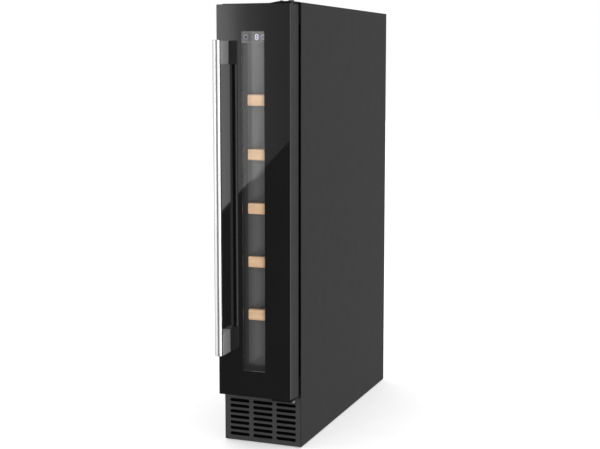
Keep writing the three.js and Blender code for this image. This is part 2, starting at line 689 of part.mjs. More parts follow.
function fanHousing() {
  const { front, back, halfSize, bore } = FAN_HOUSING;
  const { z } = FAN;
  const block = box(across(halfSize), [front, back], [z - halfSize, z + halfSize]);
  const ring = cut(block, rodY(bore, 0, z, [front - 1, back + 1], 40));
  const span = [back - FAN_ARM.thick, back];
  const reach = halfSize - FAN_ARM.endGap;
  const arms = [
    box(across(reach), span, [z - FAN_ARM.halfWidth, z + FAN_ARM.halfWidth]),
    box(across(FAN_ARM.halfWidth), span, [z - reach, z + reach]),
    rodY(FAN.hub, 0, z, span),
  ];
  return join(ring, ...arms);
}

// The condenser is one pipe folded up and down the front of the machine room.
function condenserCoil() {
  const { runs, lowest, pitch, y, straight, turn, pipe } = COIL;
  const points = [];
  for (let run = 0; run < runs; run += 1) {
    const z = lowest + run * pitch;
    const way = run % 2 === 0 ? 1 : -1;
    for (const x of [-turn, -straight, straight, turn]) {
      points.push([way * x, y, z]);
    }
  }
  const stops = points.map((point) => new THREE.Vector3(...point));
  const curve = new THREE.CatmullRomCurve3(stops, false, 'centripetal');
  return tube(curve, pipe, 60);
}

function compressorShell() {
  const { radius, bottom, top } = COMPRESSOR;
  const seam = (bottom + top) / 2;
  const waist = radius - COMPRESSOR.seam;
  const dome = turned([
    [0, bottom], [radius - 14, bottom + 3], [radius - 3, bottom + 16], [waist, seam - 3],
    [radius, seam - 3], [radius, seam + 3], [waist, seam + 3],
    [radius - 3, top - 22], [radius - 18, top - 5], [0, top],
  ], 28);
  const footZ = [bottom, bottom + COMPRESSOR.footThick];
  const foot = box(across(COMPRESSOR.foot), across(COMPRESSOR.foot), footZ);
  return join(dome, foot);
}

function compressorMount() {
  const plate = box(across(MOUNT.halfX), across(MOUNT.halfY), [MOUNT.bottom, MOUNT.top]);
  const postZ = [MOUNT.top - 1, COMPRESSOR.bottom - CLEARANCE];
  const posts = [];
  for (const x of across(MOUNT.post)) {
    for (const y of across(MOUNT.post)) {
      posts.push(rodZ(MOUNT.postRadius, x, y, postZ, 16));
    }
  }
  return join(plate, ...posts);
}

function dripTray() {
  const { halfWidth, front, back, bottom, top, wall } = TRAY;
  const tray = box(across(halfWidth), [front, back], [bottom, top]);
  const hollow = box(across(halfWidth - wall), [front + wall, back - wall], [bottom + wall, top + 1]);
  return cut(tray, hollow);
}

// An appliance inlet with three flat contacts inside its socket.
function powerInlet() {
  const x = across(INLET.halfWidth - CLEARANCE);
  const z = across(INLET.halfHeight - CLEARANCE);
  const shell = box(x, [CABINET.depth - INLET.depth, CABINET.depth], z);
  const floor = CABINET.depth - SOCKET.depth;
  const socketY = [floor, CABINET.depth + 1];
  const socket = box(across(SOCKET.halfWidth), socketY, across(SOCKET.halfHeight));
  const contactY = [floor - 1, floor + CONTACT.length];
  const contacts = [-1, 0, 1].map((index) => (
    box(across(CONTACT.halfWidth), contactY, across(CONTACT.halfHeight))
      .translate(index * CONTACT.pitch, 0, 0)
  ));
  return join(cut(shell, socket), ...contacts);
}

function addMachineRoom(group) {
  addPart(group, 'condenser_coil', condenserCoil(), coilBlack);
  addPart(group, 'condenser_fan_housing', fanHousing(), fanPlastic);
  const rotor = addPart(group, 'condenser_fan_rotor', fanRotor(FAN, 7), fanPlastic);
  rotor.position.set(0, (FAN.front + FAN.back) / 2, FAN.z);
  const coldRotor = addPart(group, 'circulation_fan_rotor', fanRotor(COLD_FAN, 6), fanPlastic);
  coldRotor.position.set(0, (COLD_FAN.front + COLD_FAN.back) / 2, COLD_FAN.z);

  const base = COMPRESSOR.y;
  addPart(group, 'compressor', compressorShell(), coilBlack).position.set(0, base, 0);
  addPart(group, 'compressor_mount', compressorMount(), zincSteel).position.set(0, base, 0);
  addPart(group, 'drip_tray', dripTray(), linerPlastic);
  const boardBox = box(BOARD_BOX.x, BOARD_BOX.y, BOARD_BOX.z);
  addPart(group, 'power_board_box', boardBox, linerPlastic);
  addPart(group, 'power_inlet', powerInlet(), fanPlastic).position.set(INLET.x, 0, INLET.z);

  const discharge = tube(pathThrough(DISCHARGE.route), DISCHARGE.radius, 28);
  addPart(group, 'discharge_pipe', discharge, copper);
  const suction = tube(pathThrough(SUCTION.route), SUCTION.radius, 14);
  addPart(group, 'suction_pipe', suction, copper);
}

// ---------------------------------------------------------------- assembly

const cooler = new THREE.Group();
cooler.position.set(0, FACE_Y, FOOT_DROP - CABINET.bottom);
addShell(cooler);
addFeet(cooler);
addColdStore(cooler);
addShelves(cooler);
addControls(cooler);
addHinges(cooler);
addMachineRoom(cooler);

const door = new THREE.Group();
addDoor(door);
addHandle(door);
cooler.add(door);

const wineCooler = new THREE.Group();
wineCooler.add(cooler);

export default wineCooler;
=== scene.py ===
"""Looks of a slim built-in wine cooler: detailed pieces, materials, studio and camera.

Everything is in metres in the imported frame: +Z is up, and the door faces -Y. Heights on the cooler
are counted from BASE_Z, 3 mm above the cabinet's underside, and depths from its front face at FACE_Y.
"""
import json
import math

import bmesh
import bpy
from mathutils import Matrix, Vector


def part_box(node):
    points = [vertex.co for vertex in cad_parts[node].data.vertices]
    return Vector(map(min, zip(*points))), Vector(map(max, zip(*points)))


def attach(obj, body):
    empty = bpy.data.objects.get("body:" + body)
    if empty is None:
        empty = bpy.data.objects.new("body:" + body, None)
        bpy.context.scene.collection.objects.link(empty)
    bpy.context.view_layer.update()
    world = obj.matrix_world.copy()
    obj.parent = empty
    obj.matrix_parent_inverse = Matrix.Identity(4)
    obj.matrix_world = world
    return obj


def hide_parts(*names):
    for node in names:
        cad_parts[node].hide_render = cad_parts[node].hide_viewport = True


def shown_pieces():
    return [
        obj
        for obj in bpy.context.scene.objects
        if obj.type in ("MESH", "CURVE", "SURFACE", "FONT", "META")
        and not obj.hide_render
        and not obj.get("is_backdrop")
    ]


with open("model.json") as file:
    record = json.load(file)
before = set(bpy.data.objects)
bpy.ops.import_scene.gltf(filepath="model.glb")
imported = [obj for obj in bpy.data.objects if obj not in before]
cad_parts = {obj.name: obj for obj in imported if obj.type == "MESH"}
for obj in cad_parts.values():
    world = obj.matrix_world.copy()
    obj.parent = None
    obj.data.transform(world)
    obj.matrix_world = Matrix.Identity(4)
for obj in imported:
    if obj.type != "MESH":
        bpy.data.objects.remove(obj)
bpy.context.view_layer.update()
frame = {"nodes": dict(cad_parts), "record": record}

MM = 0.001
RECORD = frame["record"]
SLOT_OF = {part["node"]: part["material_slot"] for part in RECORD["subparts"]}
BODIES = RECORD["behaviour"]["bodies"]
BODY_OF = {node: body for body, nodes in BODIES.items() for node in nodes}

SIDE_LOW, SIDE_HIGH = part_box("right_side_panel")
FACE_Y = SIDE_LOW.y
BACK_Y = SIDE_HIGH.y
UNDERSIDE_Z = SIDE_LOW.z
BASE_Z = UNDERSIDE_Z + 3 * MM

# The two plan axes of a piece seen along an axis, and that axis.
SEEN_ALONG = {"x": (1, 2, 0), "y": (0, 2, 1), "z": (0, 1, 2)}


# ------------------------------------------------------------------ node material tools

def new_material(name):
    material = bpy.data.materials.new(name)
    material.use_nodes = True
    tree = material.node_tree
    return material, tree, tree.nodes["Principled BSDF"]


def stretched(tree, scale):
    """Object coordinates, in metres, multiplied by scale."""
    coords = tree.nodes.new("ShaderNodeTexCoord")
    mapping = tree.nodes.new("ShaderNodeMapping")
    mapping.inputs["Scale"].default_value = scale
    tree.links.new(coords.outputs["Object"], mapping.inputs["Vector"])
    return mapping.outputs["Vector"]


def noise(tree, scale, detail=2.0, roughness=0.5):
    """A noise pattern. scale is one number, or three for a pattern drawn out along an axis."""
    if not isinstance(scale, tuple):
        scale = (scale,) * 3
    texture = tree.nodes.new("ShaderNodeTexNoise")
    texture.inputs["Scale"].default_value = 1.0
    texture.inputs["Detail"].default_value = detail
    texture.inputs["Roughness"].default_value = roughness
    tree.links.new(stretched(tree, scale), texture.inputs["Vector"])
    return texture.outputs["Fac"]


def spread(tree, value, low, high, start=0.3, end=0.7):
    """Stretches a pattern between start and end to the range low to high."""
    node = tree.nodes.new("ShaderNodeMapRange")
    node.inputs["From Min"].default_value = start
    node.inputs["From Max"].default_value = end
    node.inputs["To Min"].default_value = low
    node.inputs["To Max"].default_value = high
    tree.links.new(value, node.inputs["Value"])
    return node.outputs["Result"]


def ramp(tree, value, stops):
    """Colours a pattern. stops is a list of (position, colour)."""
    node = tree.nodes.new("ShaderNodeValToRGB")
    elements = node.color_ramp.elements
    while len(elements) < len(stops):
        elements.new(0.5)
    for element, (position, colour) in zip(elements, stops):
        element.position = position
        element.color = (*colour, 1)
    tree.links.new(value, node.inputs["Fac"])
    return node.outputs["Color"]


def bump(tree, shader, height, strength, distance):
    node = tree.nodes.new("ShaderNodeBump")
    node.inputs["Strength"].default_value = strength
    node.inputs["Distance"].default_value = distance
    tree.links.new(height, node.inputs["Height"])
    tree.links.new(node.outputs["Normal"], shader.inputs["Normal"])


def grey(level):
    return (level, level, level)


def shades(colour, amount):
    """Ramp stops from a little darker than colour to a little lighter."""
    darker = tuple(channel * (1 - amount) for channel in colour)
    lighter = tuple(min(1, channel * (1 + amount)) for channel in colour)
    return [(0.3, darker), (0.7, lighter)]


def coordinate(tree, kind, axis):
    """One axis of a texture coordinate."""
    coords = tree.nodes.new("ShaderNodeTexCoord")
    parts = tree.nodes.new("ShaderNodeSeparateXYZ")
    tree.links.new(coords.outputs[kind], parts.inputs["Vector"])
    return parts.outputs[axis]


def depth_from_face(tree, reach):
    """0 at the cabinet's front face and 1 at reach metres behind it."""
    return spread(tree, coordinate(tree, "Object", "Y"), 0, 1, FACE_Y, FACE_Y + reach)


# ------------------------------------------------------------------ materials

def painted(name, colour, roughness, specular=0.3, grain=1400, relief=0.05, cloud=0.03, sheen=0.04):
    """Powder coat or moulded plastic: a fine skin texture and a faint cloudiness."""
    material, tree, shader = new_material(name)
    patches = noise(tree, 9, 3)
    tree.links.new(ramp(tree, patches, shades(colour, cloud)), shader.inputs["Base Color"])
    wear = noise(tree, 40, 3)
    tree.links.new(spread(tree, wear, roughness - sheen, roughness + sheen), shader.inputs["Roughness"])
    shader.inputs["Specular IOR Level"].default_value = specular
    bump(tree, shader, noise(tree, grain), relief, 0.0004)
    return material


def metal(name, colour, roughness, stretch, relief=0.05, metallic=1.0):
    """Metal with fine marks drawn out by stretch, as brushing or rolling leaves."""
    material, tree, shader = new_material(name)
    shader.inputs["Metallic"].default_value = metallic
    streaks = noise(tree, stretch, 4, 0.6)
    tree.links.new(ramp(tree, streaks, shades(colour, 0.05)), shader.inputs["Base Color"])
    uneven = spread(tree, streaks, roughness - 0.06, roughness + 0.08)
    tree.links.new(uneven, shader.inputs["Roughness"])
    bump(tree, shader, streaks, relief, 0.0001)
    return material


def brushed_steel():
    """Stainless steel with fine upright brush lines and the glint they draw out."""
    material = metal("brushed_steel", (0.83, 0.83, 0.84), 0.24, (2600, 2600, 14), 0.08)
    tree = material.node_tree
    shader = tree.nodes["Principled BSDF"]
    shader.inputs["Anisotropic"].default_value = 0.5
    tangent = tree.nodes.new("ShaderNodeTangent")
    tangent.direction_type = "RADIAL"
    tangent.axis = "Z"
    tree.links.new(tangent.outputs["Tangent"], shader.inputs["Tangent"])
    return material


def galvanised_sheet():
    """Zinc coated sheet with a faint spangle."""
    material, tree, shader = new_material("galvanised_sheet")
    shader.inputs["Metallic"].default_value = 1.0
    cells = tree.nodes.new("ShaderNodeTexVoronoi")
    cells.inputs["Scale"].default_value = 1.0
    tree.links.new(stretched(tree, (90, 90, 90)), cells.inputs["Vector"])
    spangle = tree.nodes.new("ShaderNodeRGBToBW")
    tree.links.new(cells.outputs["Color"], spangle.inputs["Color"])
    stops = [(0.1, (0.60, 0.61, 0.62)), (0.9, (0.70, 0.71, 0.72))]
    tree.links.new(ramp(tree, spangle.outputs["Val"], stops), shader.inputs["Base Color"])
    tree.links.new(spread(tree, spangle.outputs["Val"], 0.36, 0.5, 0, 1), shader.inputs["Roughness"])
    bump(tree, shader, noise(tree, 500), 0.05, 0.0003)
    return material


def printed_glass():
    """Glass printed black on its back: deep black under a clear, faintly wavy face."""
    material, tree, shader = new_material("printed_glass")
    haze = noise(tree, 14, 3)
    tree.links.new(spread(tree, haze, 0.012, 0.03), shader.inputs["Roughness"])
    stops = [(0.3, (0.0028, 0.0028, 0.0029)), (0.7, (0.0036, 0.0036, 0.0037))]
    tree.links.new(ramp(tree, haze, stops), shader.inputs["Base Color"])
    bump(tree, shader, noise(tree, (5, 5, 2), 1), 0.02, 0.001)
    return material


def clear_glass(name, tint):
    """Clear glass with a faint tint and an uneven polish."""
    material, tree, shader = new_material(name)
    shader.inputs["Transmission Weight"].default_value = 1.0
    shader.inputs["IOR"].default_value = 1.5
    haze = noise(tree, 14, 3)
    tree.links.new(spread(tree, haze, 0.004, 0.02), shader.inputs["Roughness"])
    tree.links.new(ramp(tree, haze, shades(tint, 0.02)), shader.inputs["Base Color"])
    return material


def beech():
    """Lacquered beech: pale figure along x, with short dark flecks."""
    material, tree, shader = new_material("beech")
    figure = noise(tree, (26, 160, 330), 5, 0.62)
    stops = [(0.28, (0.64, 0.385, 0.215)), (0.5, (0.74, 0.48, 0.29)), (0.72, (0.81, 0.57, 0.375))]
    flecks = noise(tree, (420, 2600, 2600))
    mix = tree.nodes.new("ShaderNodeMix")
    mix.data_type = "RGBA"
    mix.inputs["B"].default_value = (0.42, 0.235, 0.115, 1)
    tree.links.new(spread(tree, flecks, 0.0, 0.55, 0.62, 0.75), mix.inputs["Factor"])
    tree.links.new(ramp(tree, figure, stops), mix.inputs["A"])
    tree.links.new(mix.outputs["Result"], shader.inputs["Base Color"])
    tree.links.new(spread(tree, figure, 0.42, 0.52), shader.inputs["Roughness"])
    bump(tree, shader, figure, 0.12, 0.0004)
    return material


def lining():
    """Vacuum-formed lining with painted shade: a black front face, a dark band behind it and walls
    darker towards the front that pale with depth.
    """
    material, tree, shader = new_material("liner_plastic")
    # Painted shade: the black of the front face stands in for the shade in the gap round the door.
    face, collar_shade, step = grey(0.001), grey(0.02), grey(0.05)
    near_wall_shade, wall, deep = grey(0.145), grey(0.185), grey(0.26)
    face_end, collar_shade_start = 0.016, 0.021
    # Painted shade: the colour darkens from the deep walls towards the front, through a dark band and a
    # darker step, for the shade behind the door frame.
    stops = [
        (0.0, face), (face_end, face), (collar_shade_start, collar_shade), (0.25, collar_shade),
        (0.26, step), (0.355, step), (0.37, near_wall_shade), (0.56, wall), (0.95, deep), (1.0, deep),
    ]
    depth = depth_from_face(tree, 120 * MM)
    tree.links.new(ramp(tree, depth, stops), shader.inputs["Base Color"])
    skin = noise(tree, 1500)
    tree.links.new(spread(tree, skin, 0.46, 0.54), shader.inputs["Roughness"])
    # Painted shade: the front face is painted black and metallic, so it reflects next to nothing and
    # the gap round the door stays dark.
    tree.links.new(spread(tree, depth, 1, 0, face_end, collar_shade_start), shader.inputs["Metallic"])
    shader.inputs["Specular IOR Level"].default_value = 0.33
    bump(tree, shader, skin, 0.06, 0.0003)
    return material


def glowing(name, colour, strength):
    """A lit plastic face under a little dust."""
    material, tree, shader = new_material(name)
    dust = noise(tree, 300)
    tree.links.new(ramp(tree, dust, shades(colour, 0.03)), shader.inputs["Base Color"])
    shader.inputs["Emission Color"].default_value = (*colour, 1)
    shader.inputs["Emission Strength"].default_value = strength
    shader.inputs["Roughness"].default_value = 0.4
    return material


# One finish for each material slot of the record. Colours are linear.
MATERIALS = {
    "cabinet_paint": painted(
        "cabinet_paint", grey(0.0305), 0.66, specular=0.14, relief=0.04, cloud=0.015, sheen=0.015),
    "plinth_paint": painted("plinth_paint", grey(0.050), 0.5),
    "zinc_steel": galvanised_sheet(),
    "liner_plastic": lining(),
    "foam": painted("foam", (0.70, 0.60, 0.36), 0.9, specular=0.2, grain=260, relief=0.5),
    "door_glass": clear_glass("window_glass", (0.98, 0.98, 0.975)),
    "black_print": printed_glass(),
    "inner_glass": clear_glass("inner_glass", (0.98, 0.985, 0.98)),
    "frame_plastic": painted("frame_plastic", grey(0.0325), 0.55, specular=0.2),
    "gasket_rubber": painted("gasket_rubber", grey(0.012), 0.7, specular=0.25, grain=700),
    "brushed_steel": brushed_steel(),
    "hinge_steel": painted("hinge_steel", grey(0.006), 0.5, specular=0.2),
    "beech": beech(),
    "black_wire": painted("black_wire", (0.028, 0.028, 0.029), 0.32, specular=0.5),
    "fan_plastic": painted("fan_plastic", (0.02, 0.02, 0.021), 0.45, specular=0.4),
    "panel_plastic": painted("panel_plastic", grey(0.13), 0.42, specular=0.4),
    "button_metal": metal("button_metal", (0.5, 0.5, 0.51), 0.35, (900, 900, 900)),
    "display_lens": painted("display_lens", (0.09, 0.09, 0.094), 0.12, specular=0.6),
    "board_green": painted("board_green", (0.02, 0.10, 0.04), 0.4, specular=0.5, grain=500),
    "light_diffuser": glowing("light_diffuser", (1.0, 0.97, 0.93), 8.0),
    "coil_black": painted("coil_black", grey(0.014), 0.4, specular=0.5, grain=300),
    "copper": metal("copper", (0.78, 0.42, 0.26), 0.26, (500, 60, 500)),
    "evaporator_aluminium": metal("evaporator_aluminium", (0.72, 0.73, 0.75), 0.34, (30, 900, 900)),
    "foot_rubber": painted("foot_rubber", grey(0.016), 0.75, specular=0.25, grain=600),
}
SCREW_STEEL = metal("screw_steel", (0.62, 0.62, 0.63), 0.28, (900, 900, 900))
SATIN_STEEL = metal("satin_steel", (0.74, 0.74, 0.75), 0.46, (2600, 14, 2600), 0.05, metallic=0.85)
# Painted shade: a near-black sheet behind the plinth grille stands in for the shade behind its slots.
SHADE_SHEET_MAT = painted("filter_mat", grey(0.0015), 0.9, specular=0.05, grain=900, relief=0.6)
DIGIT_GLOW = glowing("digit_glow", (0.72, 0.70, 1.0), 1.6)
RING_GLOW = glowing("ring_glow", (0.80, 0.80, 1.0), 0.9)

for node, slot in SLOT_OF.items():
    finish = frame["nodes"][node].data.materials
    finish.clear()
    finish.append(MATERIALS[slot])


# ------------------------------------------------------------------ mesh tools

# Points closer than this are one point, in a piece's mesh and in a CAD node's mesh.
SAME_POINT = 2e-6
SAME_CAD_POINT = 5e-6
NO_LENGTH = 1e-6

# Angles in degrees: shaded smooth below, rounded off above, and still flat below.
SMOOTH_BELOW = 35
ROUNDED_ABOVE = 40
FLAT_BELOW = 0.5


def mesh_of(points, faces):
    mesh = bpy.data.meshes.new("shape")
    mesh.from_pydata([tuple(point) for point in points], [], faces)
    return mesh


def merged(*meshes):
    """One mesh with the shells of all of them."""
    work = bmesh.new()
    for mesh in meshes:
        work.from_mesh(mesh)
    whole = bpy.data.meshes.new("shape")
    work.to_mesh(whole)
    work.free()
    return whole


def placed(mesh, matrix):
    copy = mesh.copy()
    copy.transform(matrix)
    return copy


def add_piece(name, mesh, slot, body, nodes=(), material=None, angle=SMOOTH_BELOW):
    """Cleans the mesh, gives it its finish and rides it on its body."""
    work = bmesh.new()
    work.from_mesh(mesh)
    bmesh.ops.remove_doubles(work, verts=work.verts, dist=SAME_POINT)
    bmesh.ops.dissolve_degenerate(work, edges=work.edges, dist=NO_LENGTH)
    bmesh.ops.recalc_face_normals(work, faces=work.faces)
    for face in work.faces:
        face.smooth = True
    limit = math.radians(angle)
    for edge in work.edges:
        edge.smooth = len(edge.link_faces) == 2 and edge.calc_face_angle(0) < limit
    work.to_mesh(mesh)
    work.free()
    mesh.name = name
    mesh.materials.clear()
    mesh.materials.append(material or MATERIALS[slot])
    piece = bpy.data.objects.new(name, mesh)
    bpy.context.scene.collection.objects.link(piece)
    normals = piece.modifiers.new("normals", "WEIGHTED_NORMAL")
    normals.keep_sharp = True
    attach(piece, body)
    if nodes:
        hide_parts(*nodes)
    return piece


def stand_for(node, mesh, name=None, angle=SMOOTH_BELOW):
    """A detailed mesh that takes the place of a CAD node, with that node's finish and body."""
    return add_piece(name or node + "_detail", mesh, SLOT_OF[node], BODY_OF[node], [node], angle=angle)


def softened(node, edge, segments=2):
    """The CAD node with its edges rounded, for a piece whose shape is already right."""
    source = frame["nodes"][node].data
    faces = [tuple(face.vertices) for face in source.polygons]
    mesh = mesh_of([vertex.co for vertex in source.vertices], faces)
    work = bmesh.new()
    work.from_mesh(mesh)
    bmesh.ops.remove_doubles(work, verts=work.verts, dist=SAME_CAD_POINT)
    flat = math.radians(FLAT_BELOW)
    bmesh.ops.dissolve_limit(work, angle_limit=flat, verts=work.verts, edges=work.edges)
    work.to_mesh(mesh)
    work.free()
    piece = stand_for(node, mesh)
    rounding = piece.modifiers.new("edges", "BEVEL")
    rounding.width = edge
    rounding.segments = segments
    rounding.limit_method = "ANGLE"
    rounding.angle_limit = math.radians(ROUNDED_ABOVE)
    piece.modifiers.move(piece.modifiers.find("edges"), 0)
    return piece


def arc(centre, radius, start, end, steps):
    """Points on a circle from start to end, in degrees."""
    turns = [math.radians(start + (end - start) * step / steps) for step in range(steps + 1)]
    u, v = centre
    return [(u + radius * math.cos(turn), v + radius * math.sin(turn)) for turn in turns]


def circle(centre, radius, steps=32):
    return arc(centre, radius, 0, 360, steps)[:-1]


def rounded_loop(low, high, radius, steps=5):
    """A rectangle with round corners from low to high, as (u, v) points."""
    (u0, v0), (u1, v1) = low, high
    loop = arc((u1 - radius, v1 - radius), radius, 0, 90, steps)
    loop += arc((u0 + radius, v1 - radius), radius, 90, 180, steps)
    loop += arc((u0 + radius, v0 + radius), radius, 180, 270, steps)
    loop += arc((u1 - radius, v0 + radius), radius, 270, 360, steps)
    return loop


def curve_mesh(data):
    """The mesh that a curve makes. The curve itself is removed."""
    holder = bpy.data.objects.new("shape", data)
    mesh = bpy.data.meshes.new_from_object(holder)
    bpy.data.objects.remove(holder)
    bpy.data.curves.remove(data)
    return mesh


def add_spline(data, points, closed):
    spline = data.splines.new("POLY")
    spline.points.add(len(points) - 1)
    for target, point in zip(spline.points, points):
        target.co = (*point, 1)
    spline.use_cyclic_u = closed


# Turns the plan of a plate, seen along an axis, to lie across that axis.
LIE_ACROSS = {
    "x": Matrix(((0, 0, 1, 0), (1, 0, 0, 0), (0, 1, 0, 0), (0, 0, 0, 1))),
    "y": Matrix(((1, 0, 0, 0), (0, 0, -1, 0), (0, 1, 0, 0), (0, 0, 0, 1))),
    "z": Matrix.Identity(4),
}


def plate(loops, low, high, axis, edge):
    """A plate between low and high on an axis, with rounded edges.

    loops are its outline and its holes, as (y, z), (x, z) or (x, y) points.
    """
    data = bpy.data.curves.new("shape", "CURVE")
    data.dimensions = "2D"
    data.fill_mode = "BOTH"
    data.extrude = (high - low) / 2 - edge
    data.bevel_depth = edge
    data.bevel_resolution = 1
    data.offset = -edge
    for loop in loops:
        add_spline(data, [(u, v, 0) for u, v in loop], True)
    mesh = curve_mesh(data)
    middle = (low + high) / 2
    rise = -middle if axis == "y" else middle
    mesh.transform(LIE_ACROSS[axis] @ Matrix.Translation((0, 0, rise)))
    return mesh


def block(low, high, edge, axis="y"):
    """A box with rounded edges and corners."""
    first, second, along = SEEN_ALONG[axis]
    loop = rounded_loop((low[first], low[second]), (high[first], high[second]), edge, 3)
    return plate([loop], low[along], high[along], axis, edge * 0.9)


def wire(path, radius, sides=3, closed=False):
    """A round wire along a list of points."""
    data = bpy.data.curves.new("shape", "CURVE")
    data.dimensions = "3D"
    data.bevel_depth = radius
    data.bevel_resolution = sides
    data.use_fill_caps = True
    add_spline(data, path, closed)
    return curve_mesh(data)


def bent(points, radius, steps=6):
    """A path through points, with its inner corners rounded."""
    corners = [Vector(point) for point in points]
    path = [corners[0]]
    for before, corner, after in zip(corners, corners[1:], corners[2:]):
        reach = min(radius, (corner - before).length / 2, (after - corner).length / 2)
        start = corner + (before - corner).normalized() * reach
        end = corner + (after - corner).normalized() * reach
        for step in range(steps + 1):
            t = step / steps
            path.append(start * (1 - t) ** 2 + corner * 2 * t * (1 - t) + end * t ** 2)
    path.append(corners[-1])
    return path


def turned(profile, centre, axis, segments=64):
    """A turned piece. profile is (radius, distance along the axis) from end to end."""
    points = []
    rows = []
    for radius, along in profile:
        count = 1 if radius < NO_LENGTH else segments
        rows.append([len(points) + step for step in range(count)])
        for step in range(count):
            turn = 2 * math.pi * step / count
            points.append((radius * math.cos(turn), radius * math.sin(turn), along))
    faces = []
    for lower, upper in zip(rows, rows[1:]):
        for step in range(segments):
            after = (step + 1) % segments
            corners = [lower[step % len(lower)], lower[after % len(lower)]]
            corners += [upper[after % len(upper)], upper[step % len(upper)]]
            unique = list(dict.fromkeys(corners))
            if len(unique) > 2:
                faces.append(unique)
    mesh = mesh_of(points, faces)
    turn_to = {"x": (90, "Y"), "y": (-90, "X"), "z": (0, "Z")}[axis]
    mesh.transform(Matrix.Rotation(math.radians(turn_to[0]), 4, turn_to[1]))
    mesh.transform(Matrix.Translation(centre))
    return mesh


def loft(loops, closed):
    """Skins rings of points that all have the same count."""
    count = len(loops[0])
    faces = []
    pairs = list(zip(range(len(loops)), range(1, len(loops))))
    if closed:
        pairs.append((len(loops) - 1, 0))
    else:
        faces.append(list(range(count)))
        faces.append([(len(loops) - 1) * count + step for step in reversed(range(count))])
    for first, second in pairs:
        for step in range(count):
            after = (step + 1) % count
            start, end = first * count, second * count
            faces.append([start + step, start + after, end + after, end + step])
    return mesh_of([point for loop in loops for point in loop], faces)


def front_loop(low, high, inset, radius):
    """A box's front outline, moved in by inset, as (x, z) points."""
    return rounded_loop((low.x + inset, low.z + inset), (high.x - inset, high.z - inset), radius)


def at_depth(loop, y):
    """(x, z) points as points in space."""
    return [(u, y, v) for u, v in loop]


def frame_ring(low, high, profile, corner):
    """A rectangular ring seen from the front, swept from a profile of (inset, y)."""
    smallest = 0.4 * MM
    loops = []
    for inset, y in profile:
        outline = front_loop(low, high, inset, max(corner - inset, smallest))
        loops.append(at_depth(outline, y))
    return loft(loops, True)


def screws(name, places, axis, way, radius, body):
    """Pan-head screws with a cross recess; way is the side their heads point to."""
    arm, half = radius * 0.5, radius * 0.13
    rim, crown = radius * 0.2, radius * 0.42
    cross = [
        (half, half), (arm, half), (arm, -half), (half, -half), (half, -arm), (-half, -arm),
        (-half, -half), (-arm, -half), (-arm, half), (-half, half), (-half, arm), (half, arm),
    ]
    heads = []
    for place in places:
        u, v, base = (place[index] for index in SEEN_ALONG[axis])
        step = base + way * rim
        top = step + way * crown
        disc = [circle((u, v), radius)]
        dome = [circle((u, v), radius * 0.99), [(u + a, v + b) for a, b in cross]]
        heads.append(plate(disc, min(base, step), max(base, step), axis, radius * 0.05))
        heads.append(plate(dome, min(step, top), max(step, top), axis, radius * 0.12))
    return add_piece(name, merged(*heads), "zinc_steel", body, material=SCREW_STEEL)


# ------------------------------------------------------------------ door

WINDOW_HALF_WIDTH = 21 * MM
WINDOW_SILL = 138 * MM
WINDOW_HEAD = 730.7 * MM
WINDOW_CORNER = 0.8 * MM


def window_loop(slack):
    """The window's outline, moved in by slack, as (x, z) points."""
    reach = WINDOW_HALF_WIDTH - slack
    low = (-reach, BASE_Z + WINDOW_SILL + slack)
    high = (reach, BASE_Z + WINDOW_HEAD - slack)
    return rounded_loop(low, high, WINDOW_CORNER)


def add_door_glass():
    """Printed glass with a real hole for the window, and the clear pane that fills it."""
    low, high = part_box("door_glass_outer")
    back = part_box("glass_print_border")[1].y
    front = low.y
    ease, corner = 0.7 * MM, 1.5 * MM
    bevel = [(ease - u, front + ease - v) for u, v in arc((0, 0), ease, 0, 90, 3)]
    profile = [(ease, back), (0, back - ease), *bevel]
    loops = [at_depth(front_loop(low, high, inset, corner - inset / 2), y) for inset, y in profile]
    # The window isn't an inset of the glass, because its sill and head stand at unlike distances.
    opening = window_loop(0)
    loops += [at_depth(opening, front), at_depth(opening, back)]
    stand_for("glass_print_border", loft(loops, True), "door_glass_face", angle=50)

    pane = plate([window_loop(0.02 * MM)], front, high.y, "y", 0.01 * MM)
    stand_for("door_glass_outer", pane, "door_window_pane")


def add_frame_drafts():
    """Slopes that lead from the slim front of the door frame to its wide flange at the back."""
    low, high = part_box("door_frame")
    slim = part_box("door_glass_outer")[1].x
    wide = high.x - 0.05 * MM
    proud, buried = slim + 0.02 * MM, slim - 0.5 * MM
    flange_at = high.y - 7 * MM
    start = flange_at - 17 * MM
    slope = [(buried, start), (proud, start), (wide, flange_at), (buried, flange_at)]
    other = [(-u, v) for u, v in reversed(slope)]
    ends = 0.7 * MM
    sides = [plate([side], low.z + ends, high.z - ends, "z", 0.01 * MM) for side in (slope, other)]
    add_piece("door_frame_drafts", merged(*sides), SLOT_OF["door_frame"], BODY_OF["door_frame"])


def add_inner_door():
    softened("door_frame", 0.7 * MM)
    add_frame_drafts()
    low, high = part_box("door_glass_inner")
    pane = front_loop(low, high, 0, 1.2 * MM)
    stand_for("door_glass_inner", plate([pane], low.y, high.y, "y", 0.4 * MM))

    low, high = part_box("glass_spacer")
    width, depth = 6 * MM, high.y - low.y
    outer_ease, inner_ease = 0.6 * MM, 1.2 * MM
    profile = [
        (0, low.y + 0.1 * depth), (outer_ease, low.y),
        (width - inner_ease, low.y), (width, low.y + 0.15 * depth),
        (width, high.y - 0.15 * depth), (width - inner_ease, high.y),
        (outer_ease, high.y), (0, high.y - 0.1 * depth),
    ]
    stand_for("glass_spacer", frame_ring(low, high, profile, 3 * MM))


